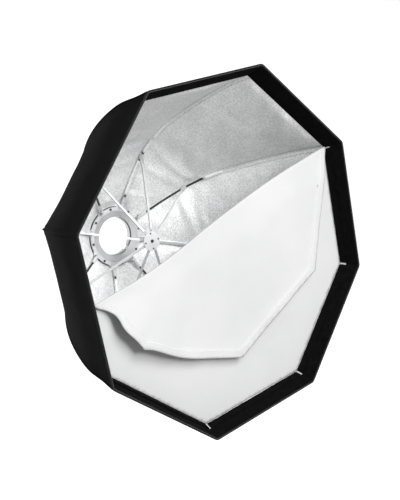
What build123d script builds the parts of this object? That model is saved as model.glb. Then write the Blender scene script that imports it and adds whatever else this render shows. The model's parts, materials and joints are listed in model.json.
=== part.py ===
from build123d import *
import os
from math import cos, hypot, radians, sin, tan

# An eight-sided umbrella softbox (octabox). Origin: centre of the rear face of its bayonet ring.
# The open front faces -Y, rib 2 points up (+Z) and rib 4 to +X. Each rib and everything on it is
# drawn once for the upright rib, as (radius, depth) with depth = -Y, and turned about Y.

# --- driving dimensions, mm ---
RIBS = 8
STEP = 360 / RIBS                # angle between neighbouring ribs
HALF = STEP / 2
RIM_RADIUS = 402.0               # front rim, across a corner
SHEET_DEPTH = 451.0              # plane of the recessed front diffuser
COVER_THICK = 1.5
LINING_THICK = 1.0
LIP_THICK = 1.6
SECTOR_GAP = 0.15                # each side of a panel's middle line
ROD_RADIUS = 2.75
BORE_RADIUS = 49.0               # bayonet opening
FLANGE_RADIUS = 76.0             # ring flange between its lobes
LOBE_RADIUS = 81.0               # ring flange at its lobes
FLANGE_DEPTH = 22.0              # front face of the flange
FLANGE_THICK = 3.0
SLEEVE_RADIUS = 72.0             # sleeve behind the flange
RING_HOLE = 66.0                 # inside of the flange and its sleeve
SCREW_CIRCLE = 71.5              # flange screws
RIB_PIVOT = (80.0, 29.5)         # hinge of a rib on the ring
CLIP_SHARE = 0.247               # how far along its rod a rib carries the stretcher's joint block
HUB_PIVOT = (20.0, 171.0)        # hinge of a stretcher on the hub
HUB_RADIUS = 24.0
HUB_FACE = 178.0                 # front face of the hub
DIFFUSER_RADIUS = 378.5          # diffuser sheet, across a corner
DIFFUSER_THICK = 1.0
FOLD_GAP = 6.0                   # from the sheet's plane to the plane of the folded-over flap

# Profiles over a rib, as (radius, depth), from the neck to the rim.
COVER_LINE = [(86, 12), (112, 26), (150, 44), (204, 73), (252, 112), (289, 163), (324, 227),
              (354.5, 299), (380, 378), (392, 447), (401, 491)]
LINING_LINE = [(88, 17.5), (113, 31.5), (149, 49), (204, 79), (250, 119), (281, 172), (311, 236),
               (340, 306), (365, 382), (380, 449.5)]
LIP_LINE = [(381.5, 451), (399.5, 492.4)]
HEM_LINE = [(397.2, 492.6), (403.0, 492.6)]
ROD_LINE = [(88, 33), (150, 58), (209, 90), (256, 133), (301, 196), (340, 276), (368, 356),
            (386, 446)]

RIB_PLANE = Plane(origin=(0, 0, 0), x_dir=(0, 0, 1), z_dir=(1, 0, 0))


def at(radius, depth, side=0.0):
    """A point on the upright rib, in row coordinates."""
    return Vector(side, -depth, radius)


def turned(shape, index):
    """The shape of the upright rib, turned to rib number index."""
    return Rot(0, (index - 2) * STEP, 0) * shape


def node(name, *solids):
    """Writes one named node from its solids."""
    shape = solids[0] if len(solids) == 1 else Compound(children=list(solids))
    shape.label = name
    export_step(shape, f"parts/{name}.step")


def disc(radius, back, front, hole=0.0):
    """A round plate about the axis, from depth back to depth front."""
    face = Circle(radius) - Circle(hole) if hole else Circle(radius)
    plane = Plane(origin=(0, -back, 0), x_dir=(1, 0, 0), z_dir=(0, -1, 0))
    return extrude(plane * face, front - back)


def rod_between(start, end, radius):
    """A straight round bar between two points."""
    along = end - start
    return extrude(Plane(origin=start, z_dir=along) * Circle(radius), along.length)


def around(shape, count, first=0.0):
    """The shape repeated about the Y axis."""
    return [Rot(0, first + i * 360 / count, 0) * shape for i in range(count)]


# --- fabric ---
MIDDLE_PLANE = Plane(
    origin=(0, 0, 0),
    x_dir=(sin(radians(HALF)), 0, cos(radians(HALF))),
    z_dir=(cos(radians(HALF)), 0, -sin(radians(HALF))),
)


def flattened(line):
    """The same line over the middle of a flat panel, where the radius is smaller."""
    return [(r * cos(radians(HALF)), d) for r, d in line]


def half_sector(section, rib_gap):
    """A section on the panel's middle plane, drawn out flat to the upright rib's plane."""
    cloth = extrude(MIDDLE_PLANE * section, -RIM_RADIUS / 2, dir=MIDDLE_PLANE.z_dir)
    cloth = split(cloth, bisect_by=MIDDLE_PLANE.offset(-SECTOR_GAP), keep=Keep.BOTTOM)
    return split(cloth, bisect_by=Plane.YZ.offset(rib_gap), keep=Keep.TOP)


def strip_face(line, thick):
    """The section of a cloth layer: its outer line, and the same line moved inward by its thickness."""
    inner = []
    for i, (r, d) in enumerate(line):
        before, after = line[max(i - 1, 0)], line[min(i + 1, len(line) - 1)]
        dr, dd = after[0] - before[0], after[1] - before[1]
        run = hypot(dr, dd)
        inner.append((r - thick * dd / run, d + thick * dr / run))
    outer_edge, inner_edge = Spline(*line), Spline(*inner)
    ends = [Line(line[0], inner[0]), Line(line[-1], inner[-1])]
    return make_face([outer_edge, inner_edge, *ends])


def half_panel(line, thick, rib_gap):
    """Cloth from the upright rib to the middle of the flat panel on its +X side."""
    return half_sector(strip_face(flattened(line), thick), rib_gap)


def cover_panel():
    half = half_panel(COVER_LINE, COVER_THICK, 0.0)
    return half + mirror(half, about=Plane.YZ)


def lining_panel():
    half = half_panel(LINING_LINE, LINING_THICK, ROD_RADIUS + 1.6)
    return [half, mirror(half, about=Plane.YZ)]


def lip_panel():
    """Inner band between the diffuser and the rim, with a hem over the front edge of the cover."""
    band = half_sector(strip_face(flattened(LIP_LINE), LIP_THICK), 0.0)
    (r0, d0), (r1, d1) = flattened(HEM_LINE)
    outline = Polyline((r0, d0), (r1, d1), (r1, d1 + LIP_THICK), (r0, d0 + LIP_THICK), close=True)
    half = band + half_sector(make_face(outline), 0.0)
    return half + mirror(half, about=Plane.YZ)


# --- rib: a bowed rod with a knuckle at the ring, a riveted joint block and a tip cap ---
KNUCKLE_THICK = 5.0
KNUCKLE_EYE = 4.8
PIN_RADIUS = 2.0
PIN_HOLE = 2.1
BLOCK_THICK = 6.4
FERRULE_RADIUS = 4.2


def rod_path():
    """The rod's bowed line: its straight runs joined by arcs as large as the runs allow."""
    points = [Vector(*p) for p in ROD_LINE]
    radii = []
    for before, here, after in zip(points, points[1:], points[2:]):
        run = min((here - before).length, (after - here).length)
        turn = (here - before).get_angle(after - here)
        radii.append(0.45 * run / tan(radians(turn / 2)))
    return RIB_PLANE * FilletPolyline(*ROD_LINE, radius=radii)


def clip_frame():
    """Centre and direction of the joint block on the upright rib."""
    path = rod_path()
    return path @ CLIP_SHARE, path % CLIP_SHARE


def rib_rod():
    path = rod_path()
    start = path @ 0
    profile = Plane(origin=start, z_dir=path % 0) * Circle(ROD_RADIUS)
    rod = sweep(profile, path)
    print("rod volume over section times length", round(rod.volume / (profile.area * path.length), 4))
    return rod


def rib_fittings():
    """Knuckle with its ferrule, the stretcher's joint block, and the tip cap."""
    pivot, rod_start = RIB_PIVOT, ROD_LINE[0]
    first, second = at(*rod_start), at(*ROD_LINE[1])
    along = (second - first).normalized()
    side = Plane(origin=(-KNUCKLE_THICK / 2, 0, 0), x_dir=(0, 0, 1), z_dir=(1, 0, 0))
    eye = extrude(side * (Pos(*pivot) * Circle(KNUCKLE_EYE)), KNUCKLE_THICK)
    neck_end = first - along * 0.2
    neck = rod_between(at(*pivot), neck_end, KNUCKLE_THICK / 2)
    collar = rod_between(neck_end - along * 2, neck_end, FERRULE_RADIUS)
    tube = rod_between(neck_end, neck_end + along * 16, FERRULE_RADIUS)
    tube = tube - rod_between(neck_end, neck_end + along * 16, ROD_RADIUS + 0.1)
    hole = extrude(side * (Pos(*pivot) * Circle(PIN_HOLE)), KNUCKLE_THICK)
    knuckle = eye + neck + collar + tube - hole

    centre, run = clip_frame()
    block_plane = Plane(origin=centre, x_dir=run, z_dir=(1, 0, 0))
    outline = block_plane * RectangleRounded(15, 11, 4)
    block = extrude(outline, BLOCK_THICK / 2, both=True)
    block = block - rod_between(centre - run * 12, centre + run * 12, ROD_RADIUS + 0.25)

    last, tip = at(*ROD_LINE[-2]), at(*ROD_LINE[-1])
    out = (tip - last).normalized()
    cap = rod_between(tip - out * 12, tip + out * 3, ROD_RADIUS + 0.9)
    cap = cap - rod_between(tip - out * 14, tip + out * 0.1, ROD_RADIUS + 0.1)
    return [knuckle, block, cap]


# --- stretcher: a channel with forked ends ---
CHANNEL_WIDTH = 5.0
CHANNEL_DEEP = 4.0
WALL = 0.8
EAR_RADIUS = 3.6
HUB_LUG = 2.6
FORK_REACH = 20.0
FORK_GAP = BLOCK_THICK + 0.8


def stretcher():
    """Channel riveted at its forked outer end, and pinned to the hub between its own walls."""
    inner, outer = at(*HUB_PIVOT), clip_frame()[0]
    along = (outer - inner).normalized()
    length = (outer - inner).length
    lie = Plane(origin=inner, x_dir=along, z_dir=(1, 0, 0))

    def slab(outline, low, high):
        """An outline in the channel's middle plane, made solid from side low to side high."""
        return Pos(low, 0, 0) * extrude(lie * outline, high - low)

    def bar(first, last, deep=CHANNEL_DEEP, offset=0.0):
        return Pos((first + last) / 2, offset) * Rectangle(last - first, deep)

    wide, fork = CHANNEL_WIDTH / 2, FORK_GAP / 2
    neck = length - FORK_REACH
    web_offset = (CHANNEL_DEEP - WALL) / 2
    solid = slab(bar(10, neck, WALL, web_offset), -wide, wide)
    solid = solid + slab(bar(neck - 2, neck), -fork - WALL, fork + WALL)
    for low, high in ((-wide, WALL - wide), (wide - WALL, wide)):
        solid = solid + slab(bar(0, neck), low, high) + slab(Circle(EAR_RADIUS), low, high)
    for sign in (-1, 1):
        low, high = sorted((sign * fork, sign * (fork + WALL)))
        solid = solid + slab(bar(neck - 2, length), low, high)
        solid = solid + slab(Pos(length, 0) * Circle(EAR_RADIUS), low, high)
        low, high = sorted((sign * (fork + WALL), sign * (fork + 2 * WALL)))
        solid = solid + slab(Pos(length, 0) * Circle(2.2), low, high)
    return solid - slab(Circle(HUB_PIN + 0.1), -wide, wide)


# --- hub ---
HUB_PIN = 1.5
HUB_CORE = 13.0
HUB_PLATE = 2.0                  # thickness of the front plate
HUB_SCREW = 2.0
HUB_HOLE_CIRCLE = 19.0
LUG_HEIGHT = 6.8


def hub_front():
    """Front plate with four holes on a circle and one for the centre screw."""
    back = HUB_FACE - HUB_PLATE
    plate = disc(HUB_RADIUS, back, HUB_FACE, hole=HUB_SCREW + 0.1)
    for hole in around(Pos(0, 0, HUB_HOLE_CIRCLE) * disc(1.9, back, HUB_FACE), 4, -HALF):
        plate = plate - hole
    return plate


def hub_core():
    """Round core with one lug for each stretcher."""
    radius, depth = HUB_PIVOT
    core = disc(HUB_CORE, depth - 6, HUB_FACE - HUB_PLATE)
    side = Plane(origin=(-HUB_LUG / 2, 0, 0), x_dir=(0, 0, 1), z_dir=(1, 0, 0))
    reach = radius - HUB_CORE + 2
    lug = extrude(side * (Pos(radius, depth) * Circle(LUG_HEIGHT / 2)), HUB_LUG)
    lug = lug + extrude(side * (Pos(radius - reach / 2, depth) * Rectangle(reach, LUG_HEIGHT)), HUB_LUG)
    lug = lug - extrude(side * (Pos(radius, depth) * Circle(HUB_PIN + 0.1)), HUB_LUG)
    for piece in around(lug, RIBS):
        core = core + piece
    return core - disc(HUB_SCREW + 0.1, depth - 6, HUB_FACE)


def hub_fasteners():
    """The centre screw with its head and nut, and the eight hinge pins."""
    back = HUB_PIVOT[1] - 6
    screw = disc(HUB_SCREW, back, HUB_FACE)
    screw = screw + disc(4.0, HUB_FACE, HUB_FACE + 1.4) - disc(1.5, HUB_FACE + 0.5, HUB_FACE + 1.4)
    nut_plane = Plane(origin=(0, -(back - 3), 0), x_dir=(1, 0, 0), z_dir=(0, -1, 0))
    screw = screw + extrude(nut_plane * RegularPolygon(4, 6), 3)
    half = CHANNEL_WIDTH / 2 + 0.6
    pin = rod_between(at(*HUB_PIVOT, side=-half), at(*HUB_PIVOT, side=half), HUB_PIN)
    return [screw, *around(pin, RIBS)]


# --- ring ---
LOBE_CURVE = 14.0                # radius of each lobe's rounded end
INSERT_DEPTH = 8.0               # thickness of the bayonet's rear plate
BORE_LENGTH = 12.0
LUGS = 3
LUG_WIDTH = 14.0
LUG_REACH = 4.0                  # how far a lug slot goes beyond the bore
SCREW_RADIUS = 1.5
SCREW_HEAD = 3.0


def mount_ring():
    """Lobed flange that carries the hinge brackets, with a sleeve and a rear ledge behind it."""
    back = FLANGE_DEPTH - FLANGE_THICK
    ring = disc(FLANGE_RADIUS, back, FLANGE_DEPTH)
    for lobe in around(Pos(0, 0, LOBE_RADIUS - LOBE_CURVE) * disc(LOBE_CURVE, back, FLANGE_DEPTH), RIBS):
        ring = ring + lobe
    ring = ring + disc(SLEEVE_RADIUS, INSERT_DEPTH, back) - disc(RING_HOLE, INSERT_DEPTH, FLANGE_DEPTH)
    ledge_hole = RING_HOLE - 8
    ring = ring + disc(SLEEVE_RADIUS + 2, INSERT_DEPTH, INSERT_DEPTH + FLANGE_THICK, hole=ledge_hole)
    screw_hole = Pos(0, 0, SCREW_CIRCLE) * disc(SCREW_RADIUS + 0.1, FLANGE_DEPTH - 6, FLANGE_DEPTH)
    for hole in around(screw_hole, RIBS, HALF):
        ring = ring - hole
    return ring


def bayonet_insert():
    """Bayonet ring that a lamp head locks into: a bore with three lug slots."""
    body = disc(70, 0, INSERT_DEPTH, hole=BORE_RADIUS)
    body = body + disc(57.5, INSERT_DEPTH, BORE_LENGTH, hole=BORE_RADIUS)
    slot = Box(LUG_WIDTH, BORE_LENGTH, LUG_REACH + 1, align=(Align.CENTER, Align.MAX, Align.MIN))
    for lug in around(Pos(0, 0, BORE_RADIUS - 1) * slot, LUGS):
        body = body - lug
    return body


def reflector_cone():
    """Shallow cone that closes the flange down to the bayonet."""
    inner, outer, rise, thick = BORE_RADIUS + 1.0, RING_HOLE - 0.4, 4.0, 1.2
    front = FLANGE_DEPTH
    section = Polyline((inner, front - rise), (outer, front), (outer, front - thick),
                       (inner, front - rise - thick), close=True)
    return revolve(RIB_PLANE * make_face(section), Axis.Y)


def hinge_brackets():
    """A U bracket with two ears for each rib, riveted to the flange."""
    gap, wall, foot = KNUCKLE_THICK + 0.6, 1.6, 1.2
    radius, depth = RIB_PIVOT
    bracket = Pos(0, -FLANGE_DEPTH - foot / 2, radius - 5) * Box(gap + 2 * wall, foot, 12)
    rise = Pos(radius - 3, (FLANGE_DEPTH + depth) / 2) * Rectangle(7, depth - FLANGE_DEPTH)
    for low in (-gap / 2 - wall, gap / 2):
        side = Plane(origin=(low, 0, 0), x_dir=(0, 0, 1), z_dir=(1, 0, 0))
        ear = extrude(side * (Pos(radius, depth) * Circle(PIN_RADIUS + 1.8)), wall)
        bracket = bracket + ear + extrude(side * rise, wall)
    hole = rod_between(at(*RIB_PIVOT, side=-gap), at(*RIB_PIVOT, side=gap), PIN_RADIUS + 0.05)
    return around(bracket - hole, RIBS)


def ring_fasteners():
    """Hinge pins and the flange screws."""
    half = KNUCKLE_THICK / 2 + 3
    pin = rod_between(at(*RIB_PIVOT, side=-half), at(*RIB_PIVOT, side=half), PIN_RADIUS)
    front = FLANGE_DEPTH
    shank = disc(SCREW_RADIUS, front - FLANGE_THICK, front)
    head = disc(SCREW_HEAD, front, front + 1.5) - disc(SCREW_HEAD - 1.8, front + 0.7, front + 1.5)
    return [*around(pin, RIBS), *around(Pos(0, 0, SCREW_CIRCLE) * (shank + head), RIBS, HALF)]


def neck_collar():
    """Black ring behind the flange, inside the neck of the canopy."""
    return disc(77.6, INSERT_DEPTH + FLANGE_THICK + 0.5, FLANGE_DEPTH - FLANGE_THICK - 0.5,
                hole=SLEEVE_RADIUS + 0.3)


# --- diffuser, half of it folded over ---
def corner(index, radius=DIFFUSER_RADIUS):
    """A corner of the octagon as (x, z)."""
    angle = radians((index - 2) * STEP)
    return radius * sin(angle), radius * cos(angle)


def fold_ends():
    """The two ends of the fold: the middle of side 7-8, and corner 3."""
    a, b = corner(7), corner(8)
    return ((a[0] + b[0]) / 2, (a[1] + b[1]) / 2), corner(3)


def mirrored(point):
    """The point reflected over the fold."""
    (x0, z0), (x1, z1) = fold_ends()
    dx, dz = x1 - x0, z1 - z0
    run = hypot(dx, dz)
    ux, uz = dx / run, dz / run
    px, pz = point[0] - x0, point[1] - z0
    along = px * ux + pz * uz
    return x0 + 2 * along * ux - px, z0 + 2 * along * uz - pz


def flat_sheet(points, depth, thick):
    """A flat cloth in a plane across the axis. Points are (x, z)."""
    plane = Plane(origin=(0, -depth, 0), x_dir=(1, 0, 0), z_dir=(0, -1, 0))
    return extrude(plane * make_face(Polyline(*points, close=True)), thick)


def diffuser_sheet():
    start, end = fold_ends()
    return flat_sheet([start, end, *(corner(i) for i in (4, 5, 6, 7))], SHEET_DEPTH - DIFFUSER_THICK,
                      DIFFUSER_THICK)


def diffuser_flap():
    start, end = fold_ends()
    return flat_sheet([start, end, *(mirrored(corner(i)) for i in (2, 1, 8))], SHEET_DEPTH + FOLD_GAP,
                      DIFFUSER_THICK)


def hook_tape():
    """Tape along the attached edges, turned forward against the lip."""
    (r0, d0), (r1, d1) = LIP_LINE
    slope = (r1 - r0) / (d1 - d0)
    inset, wide, thick = LIP_THICK + 0.4, 17.0, 1.0
    outline = [(r0 - inset, d0 + 0.3), (r0 - inset + slope * wide, d0 + 0.3 + wide)]
    outline += [(r - thick, d) for r, d in reversed(outline)]
    outline = [(r * cos(radians(HALF)), d) for r, d in outline]
    section = MIDDLE_PLANE * make_face(Polyline(*outline, close=True))
    whole = extrude(section, RIM_RADIUS / 2, both=True, dir=MIDDLE_PLANE.z_dir)
    full = split(split(whole, bisect_by=Plane.YZ.offset(2), keep=Keep.TOP),
                 bisect_by=Plane.YZ.rotated((0, STEP, 0)).offset(-2), keep=Keep.BOTTOM)
    half = split(full, bisect_by=MIDDLE_PLANE.offset(-1), keep=Keep.BOTTOM)
    return [*(turned(full, i) for i in (3, 4, 5, 6)), turned(half, 7)]


def build():
    os.makedirs("parts", exist_ok=True)
    cover, lining, lip = cover_panel(), lining_panel(), lip_panel()
    rod, fittings, bar = rib_rod(), rib_fittings(), stretcher()
    for i in range(1, RIBS + 1):
        node(f"cover_panel_{i}", turned(cover, i))
        node(f"lining_panel_{i}", *(turned(half, i) for half in lining))
        node(f"lip_band_{i}", turned(lip, i))
        node(f"rib_rod_{i}", turned(rod, i))
        node(f"rib_fittings_{i}", *(turned(piece, i) for piece in fittings))
        node(f"stretcher_{i}", turned(bar, i))
    node("mount_ring", mount_ring())
    node("bayonet_insert", bayonet_insert())
    node("reflector_cone", reflector_cone())
    node("hinge_brackets", *hinge_brackets())
    node("ring_fasteners", *ring_fasteners())
    node("neck_collar", neck_collar())
    node("hub_front", hub_front())
    node("hub_core", hub_core())
    node("hub_fasteners", *hub_fasteners())
    node("diffuser_sheet", diffuser_sheet())
    node("diffuser_flap", diffuser_flap())
    node("diffuser_hook_tape", *hook_tape())


build()
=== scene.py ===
import json
from math import cos, hypot, pi, radians, sin

import bpy
import numpy as np
from mathutils import Matrix, Vector, geometry, noise


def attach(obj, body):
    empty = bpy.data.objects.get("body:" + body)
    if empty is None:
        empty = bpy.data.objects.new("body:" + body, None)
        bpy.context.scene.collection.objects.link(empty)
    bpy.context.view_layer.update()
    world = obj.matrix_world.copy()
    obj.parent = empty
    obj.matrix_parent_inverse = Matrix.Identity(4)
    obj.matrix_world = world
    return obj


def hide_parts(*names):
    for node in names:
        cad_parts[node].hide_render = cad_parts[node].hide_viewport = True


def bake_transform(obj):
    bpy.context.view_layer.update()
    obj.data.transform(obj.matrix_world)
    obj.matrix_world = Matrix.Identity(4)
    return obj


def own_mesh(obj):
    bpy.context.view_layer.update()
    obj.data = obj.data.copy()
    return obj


# Looks of an eight-sided umbrella softbox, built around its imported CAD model.
# Row frame: the axis is Y, the open front faces -Y, rib 2 points up and rib 4 to +X.
# A place on a rib is (radius, depth) with depth = -Y, in metres.

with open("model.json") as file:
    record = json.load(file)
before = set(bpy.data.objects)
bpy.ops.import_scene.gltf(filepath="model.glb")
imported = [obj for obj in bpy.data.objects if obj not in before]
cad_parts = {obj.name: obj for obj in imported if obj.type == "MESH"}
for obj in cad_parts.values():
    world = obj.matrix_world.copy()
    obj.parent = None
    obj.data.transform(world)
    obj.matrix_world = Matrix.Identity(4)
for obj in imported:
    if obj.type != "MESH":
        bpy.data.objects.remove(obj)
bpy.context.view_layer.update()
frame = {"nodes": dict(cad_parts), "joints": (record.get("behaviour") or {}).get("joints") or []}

# --- driving dimensions, m ---
RIBS = 8
STEP = radians(360 / RIBS)
HALF = STEP / 2
COVER_LINE = [(0.086, 0.012), (0.112, 0.026), (0.150, 0.044), (0.204, 0.073), (0.252, 0.112), (0.289, 0.163),
              (0.324, 0.227), (0.3545, 0.299), (0.380, 0.378), (0.392, 0.447), (0.401, 0.491)]
LINING_LINE = [(0.088, 0.0175), (0.113, 0.0315), (0.149, 0.049), (0.204, 0.079), (0.250, 0.119),
               (0.281, 0.172), (0.311, 0.236), (0.340, 0.306), (0.365, 0.382), (0.381, 0.4505)]
LIP_LINE = [(0.3815, 0.451), (0.3995, 0.4925)]
ROD_LINE = [(0.088, 0.033), (0.150, 0.058), (0.209, 0.090), (0.256, 0.133), (0.301, 0.196),
            (0.340, 0.276), (0.368, 0.356), (0.386, 0.446)]
RIB_PIVOT = (0.080, 0.0295)
ROD_RADIUS = 0.00275
JOINT_RADIUS = 0.2076            # where the stretcher's joint block sits on a rod
SLOT_RADIUS = 0.252              # where a bare rod goes in behind the lining
COVER_THICK = 0.0012
LINING_THICK = 0.0006
LIP_THICK = 0.0014
DIFFUSER_RADIUS = 0.3785
SHEET_DEPTH = 0.4508
FLAP_DEPTH = 0.4580
DIFFUSER_THICK = 0.0006
HEM_WIDTH = 0.018
HEM_STEP = 0.0022                # how soon the hem's thickness ends
FOLD_REACH = 0.05                # how far from the fold the cloth follows its bow
BOW_TURN = 0.42                  # where along the fold its bow changes side
BOW_NEAR, BOW_FAR = 0.0085, 0.0075
TAPE_WIDTH = 0.017
COLLAR_RADIUS = 0.0772           # the ring that the canopy's neck closes onto
NECK_RADIUS = 0.0885
RIM_RADIUS = 0.4012
RIM_DEPTH = 0.4925
CORNER_TURN = 0.010              # radius of the rim's rounded corners
SLEEVE_START = 0.109
SLEEVE_GAP = 0.010               # each side of a joint block
POCKET_LENGTH = 0.034
HUB_FACE = 0.178
HUB_HOLE_CIRCLE = 0.019
CLOTH_GAP = 0.0014               # from a rod's surface to the cloth over or under it
NARROWEST = 0.12                 # least share of its width that a petal keeps when folded
NARROWEST_RIM = 0.15
HALF_COLUMNS = 22                # mesh columns from a rib to the middle of a panel
SEAM_SIDE = 0.0066               # from a rod's middle to the stitches of its pocket
LINING_ROWS = 96
COVER_ROWS = 72
LINING_CUTS = [0, 0.3, 0.55, 0.78, 1.0]            # bands of a lining petal, as shares of its rows
COVER_CUTS = [0, 0.22, 0.4, 0.56, 0.7, 0.82, 0.92, 1.0]


# --- places ---
def rib_axes(index):
    """The unit vectors out along a rib and sideways towards the next rib."""
    angle = (index - 2) * STEP
    return np.array([sin(angle), 0, cos(angle)]), np.array([cos(angle), 0, -sin(angle)])


def at(index, radius, depth, side=0.0):
    """A point near a rib, in the row frame."""
    out, across = rib_axes(index)
    return out * radius + across * side - np.array([0, depth, 0])


def smooth_line(points, count):
    """A smooth line through the points, as count places evenly spaced along it."""
    p = np.array(points, float)
    p = np.vstack([2 * p[0] - p[1], p, 2 * p[-1] - p[-2]])
    t = np.linspace(0, 1, 24, endpoint=False)[:, None]
    spans = []
    for a, b, c, d in zip(p, p[1:], p[2:], p[3:]):
        spans.append(0.5 * (2 * b + (c - a) * t + (2 * a - 5 * b + 4 * c - d) * t**2
                            + (3 * b - a - 3 * c + d) * t**3))
    return even_line(np.vstack([*spans, p[-2:-1]]), count)


def even_line(line, count):
    """The same line as count evenly spaced points."""
    far = np.concatenate([[0], np.cumsum(np.linalg.norm(np.diff(line, axis=0), axis=1))])
    want = np.linspace(0, far[-1], count)
    return np.stack([np.interp(want, far, line[:, i]) for i in range(line.shape[1])], axis=1)


def arc_line(points, count):
    """A line that rounds the corners of the points from middle to middle, as a bent rod does."""
    p = np.array(points, float)
    middles = (p[:-1] + p[1:]) / 2
    t = np.linspace(0, 1, 16, endpoint=False)[:, None]
    spans = [p[:1]]
    for a, corner, b in zip(middles, p[1:-1], middles[1:]):
        spans.append((1 - t) ** 2 * a + 2 * t * (1 - t) * corner + t**2 * b)
    return even_line(np.vstack([*spans, middles[-1:], p[-1:]]), count)


def noise_at(points, scale, seed=0.0):
    """Smooth noise at each point, from about -1 to 1. scale is its size in metres, or three sizes."""
    flat = points.reshape(-1, 3) / np.array(scale) + seed
    return np.array([noise.noise(Vector(p)) for p in flat]).reshape(points.shape[:-1])


def bump(x, width):
    return np.exp(-(x / width) ** 2)


def step(low, high, x):
    t = np.clip((x - low) / (high - low), 0, 1)
    return t * t * (3 - 2 * t)


# --- meshes ---
def new_object(name, points, faces, material):
    mesh = bpy.data.meshes.new(name)
    mesh.from_pydata([tuple(map(float, p)) for p in points], [], faces)
    mesh.update()
    mesh.shade_smooth()
    mesh.materials.append(material)
    made = bpy.data.objects.new(name, mesh)
    bpy.context.scene.collection.objects.link(made)
    return made


def set_uv(made, uv):
    """Gives the mesh one UV for each vertex, in metres."""
    layer = made.data.uv_layers.new(name="cloth")
    loops = np.zeros(len(made.data.loops), int)
    made.data.loops.foreach_get("vertex_index", loops)
    layer.data.foreach_set("uv", np.array(uv, np.float32)[loops].ravel())


def grid_normals(grid, wraps):
    """Unit normals of a grid of points. wraps joins its last column to its first."""
    if wraps:
        across = np.roll(grid, -1, axis=0) - np.roll(grid, 1, axis=0)
    else:
        across = np.gradient(grid, axis=0)
    along = np.gradient(grid, axis=1)
    normal = np.cross(across, along)
    return normal / np.linalg.norm(normal, axis=-1, keepdims=True)


def shell(name, grid, normals, thick, uv, material):
    """A closed cloth of a given thickness behind a grid of points, lit with the normals of the whole."""
    if (grid_normals(grid, False) * normals).sum() < 0:
        grid, normals, uv = grid[::-1], normals[::-1], uv[::-1]
    columns, rows = grid.shape[:2]
    front = grid.reshape(-1, 3)
    back = (grid - normals * thick).reshape(-1, 3)
    count = columns * rows
    faces = []
    for i in range(columns - 1):
        for j in range(rows - 1):
            a, b, c, d = i * rows + j, (i + 1) * rows + j, (i + 1) * rows + j + 1, i * rows + j + 1
            faces.append((a, b, c, d))
            faces.append((d + count, c + count, b + count, a + count))
    edge = [i * rows for i in range(columns)] + [(columns - 1) * rows + j for j in range(1, rows)]
    edge += [i * rows + rows - 1 for i in reversed(range(columns - 1))] + list(reversed(range(1, rows - 1)))
    for a, b in zip(edge, edge[1:] + edge[:1]):
        faces.append((b, a, a + count, b + count))
    made = new_object(name, np.vstack([front, back]), faces, material)
    set_uv(made, np.vstack([uv.reshape(-1, 2)] * 2))
    n = normals.reshape(-1, 3)
    made.data.normals_split_custom_set_from_vertices(np.vstack([n, -n]).tolist())
    return made


def tube(name, path, radius, material, sides=12, flat=1.0, up=(0.31, 0.17, 0.93)):
    """A tube along a path. radius is one number, or one for each point; flat thins it along up."""
    path = np.array(path, float)
    radii = np.broadcast_to(radius, len(path))
    ahead = np.gradient(path, axis=0)
    ahead /= np.linalg.norm(ahead, axis=1, keepdims=True)
    rise = np.broadcast_to(np.array(up, float), path.shape)
    wide = np.cross(ahead, rise)
    wide /= np.linalg.norm(wide, axis=1, keepdims=True)
    rise = np.cross(wide, ahead)
    turn = np.arange(sides) * 2 * pi / sides
    ring = (wide[:, None] * np.cos(turn)[None, :, None] + rise[:, None] * np.sin(turn)[None, :, None] * flat)
    points = (path[:, None] + ring * radii[:, None, None]).reshape(-1, 3)
    faces = []
    for i in range(len(path) - 1):
        for j in range(sides):
            k = (j + 1) % sides
            faces.append((i * sides + j, i * sides + k, (i + 1) * sides + k, (i + 1) * sides + j))
    faces.append(tuple(range(sides))[::-1])
    faces.append(tuple((len(path) - 1) * sides + j for j in range(sides)))
    return new_object(name, points, faces, material)


def joined(name, pieces):
    """Several meshes as one object."""
    bpy.ops.object.select_all(action="DESELECT")
    for piece in pieces:
        piece.select_set(True)
    bpy.context.view_layer.objects.active = pieces[0]
    bpy.ops.object.join()
    pieces[0].name = name
    pieces[0].data.name = name
    return pieces[0]


def stitches(name, path, facing, material, pitch=0.0036, long=0.0026, radius=0.0004):
    """A row of thread stitches along a path, each a small pointed bead that lies on the cloth."""
    path = np.array(path, float)
    length = np.linalg.norm(np.diff(path, axis=0), axis=1).sum()
    line = even_line(path, max(2, int(length / pitch) + 1))
    facing = np.array(facing, float)
    points, faces = [], []
    for a, b in zip(line, line[1:]):
        ahead = (b - a) / np.linalg.norm(b - a)
        wide = np.cross(facing, ahead)
        wide /= np.linalg.norm(wide)
        middle = (a + b) / 2
        first = len(points)
        points.append(middle - ahead * long / 2)
        for i in range(5):
            turn = i * 2 * pi / 5
            points.append(middle + (wide * cos(turn) + facing * sin(turn)) * radius)
        points.append(middle + ahead * long / 2)
        for i in range(5):
            j = (i + 1) % 5
            faces.append((first, first + 1 + i, first + 1 + j))
            faces.append((first + 6, first + 1 + j, first + 1 + i))
    return new_object(name, points, faces, material)


# --- materials ---
def material(name, color, rough, metal=0.0, **sockets):
    """A material with its principled shader, ready for more nodes."""
    made = bpy.data.materials.new(name)
    made.use_nodes = True
    shader = made.node_tree.nodes["Principled BSDF"]
    shader.inputs["Base Color"].default_value = (*color, 1)
    shader.inputs["Roughness"].default_value = rough
    shader.inputs["Metallic"].default_value = metal
    for key, value in sockets.items():
        shader.inputs[key.replace("_", " ")].default_value = value
    return made, made.node_tree, shader


def add(tree, kind, inputs=None, **settings):
    """A node with its settings and its unlinked inputs."""
    made = tree.nodes.new(kind)
    for key, value in settings.items():
        setattr(made, key, value)
    for key, value in (inputs or {}).items():
        made.inputs[key].default_value = value
    return made


def place(tree, output="Object"):
    return add(tree, "ShaderNodeTexCoord").outputs[output]


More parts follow.
